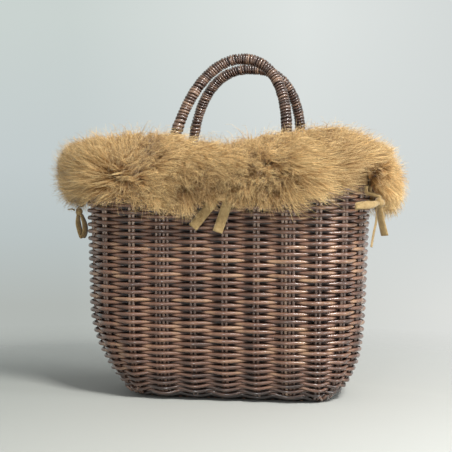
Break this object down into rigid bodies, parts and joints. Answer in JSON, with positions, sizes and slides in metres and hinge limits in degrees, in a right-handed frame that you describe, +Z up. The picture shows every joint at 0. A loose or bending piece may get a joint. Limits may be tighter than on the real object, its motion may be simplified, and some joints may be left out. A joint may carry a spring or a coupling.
{
  "type": "basket bag",
  "caption": "Woven reed basket bag with a bowl-shaped body, two cane-wrapped arched handles and a lift-off fur collar tied on with ribbons.",
  "frame": {"origin": "centre of the basket's base, on the floor", "axes": "+X along the length of the bag to the right-hand end as seen from the front, +Y from the front to the back, +Z up; the front faces -Y"},
  "size_m": [0.3328, 0.2058, 0.3267],
  "materials": {
    "lacquered_reed": "dark red-brown gloss lacquer",
    "handle_wrap": "dark brown satin lacquer",
    "handle_reed": "dark brown lacquer",
    "fur": "long golden tan fur pile",
    "lining": "plain woven cloth",
    "ribbon": "mustard suede ribbon"
  },
  "bodies": {
    "basket": {"wall_weave": "lacquered_reed", "foot_ring": "lacquered_reed", "base_mat": "lacquered_reed", "base_stick_1": "lacquered_reed", "base_stick_2": "lacquered_reed", "base_stick_3": "lacquered_reed", "base_stick_4": "lacquered_reed", "base_stick_5": "lacquered_reed", "stake_pair_01": "lacquered_reed", "stake_pair_02": "lacquered_reed", "stake_pair_04": "lacquered_reed", "stake_pair_05": "lacquered_reed", "stake_pair_06": "lacquered_reed", "stake_pair_07": "lacquered_reed", "stake_pair_08": "lacquered_reed", "stake_pair_09": "lacquered_reed", "stake_pair_10": "lacquered_reed", "stake_pair_12": "lacquered_reed", "stake_pair_13": "lacquered_reed", "stake_pair_14": "lacquered_reed", "stake_pair_16": "lacquered_reed", "stake_pair_17": "lacquered_reed", "stake_pair_18": "lacquered_reed", "stake_pair_19": "lacquered_reed", "stake_pair_20": "lacquered_reed", "stake_pair_21": "lacquered_reed", "stake_pair_22": "lacquered_reed", "stake_pair_24": "lacquered_reed", "stake_03a": "lacquered_reed", "stake_03b": "lacquered_reed", "stake_11a": "lacquered_reed", "stake_11b": "lacquered_reed", "stake_15a": "lacquered_reed", "stake_15b": "lacquered_reed", "stake_23a": "lacquered_reed", "stake_23b": "lacquered_reed", "rim_border": "lacquered_reed", "front_handle_bundle": "handle_reed", "front_handle_wrap": "handle_wrap", "back_handle_bundle": "handle_reed", "back_handle_wrap": "handle_wrap"},
    "collar": {"fur_collar": "fur", "collar_lining": "lining", "front_tie_tail_left": "ribbon", "front_tie_tail_right": "ribbon", "back_tie_tail_left": "ribbon", "back_tie_tail_right": "ribbon", "right_tie_knot": "ribbon", "right_tie_strand_front": "ribbon", "right_tie_strand_back": "ribbon", "right_tie_loop": "ribbon", "right_tie_tail_long": "ribbon", "right_tie_tail_short": "ribbon", "left_tie_knot": "ribbon", "left_tie_strand": "ribbon", "left_tie_loop": "ribbon", "left_tie_tail": "ribbon"}
  },
  "joints": [
    {"name": "collar_lift", "type": "slide", "parent": "basket", "child": "collar", "axis": [0, 0, 1], "range_m": [0, 0.19]}
  ]
}
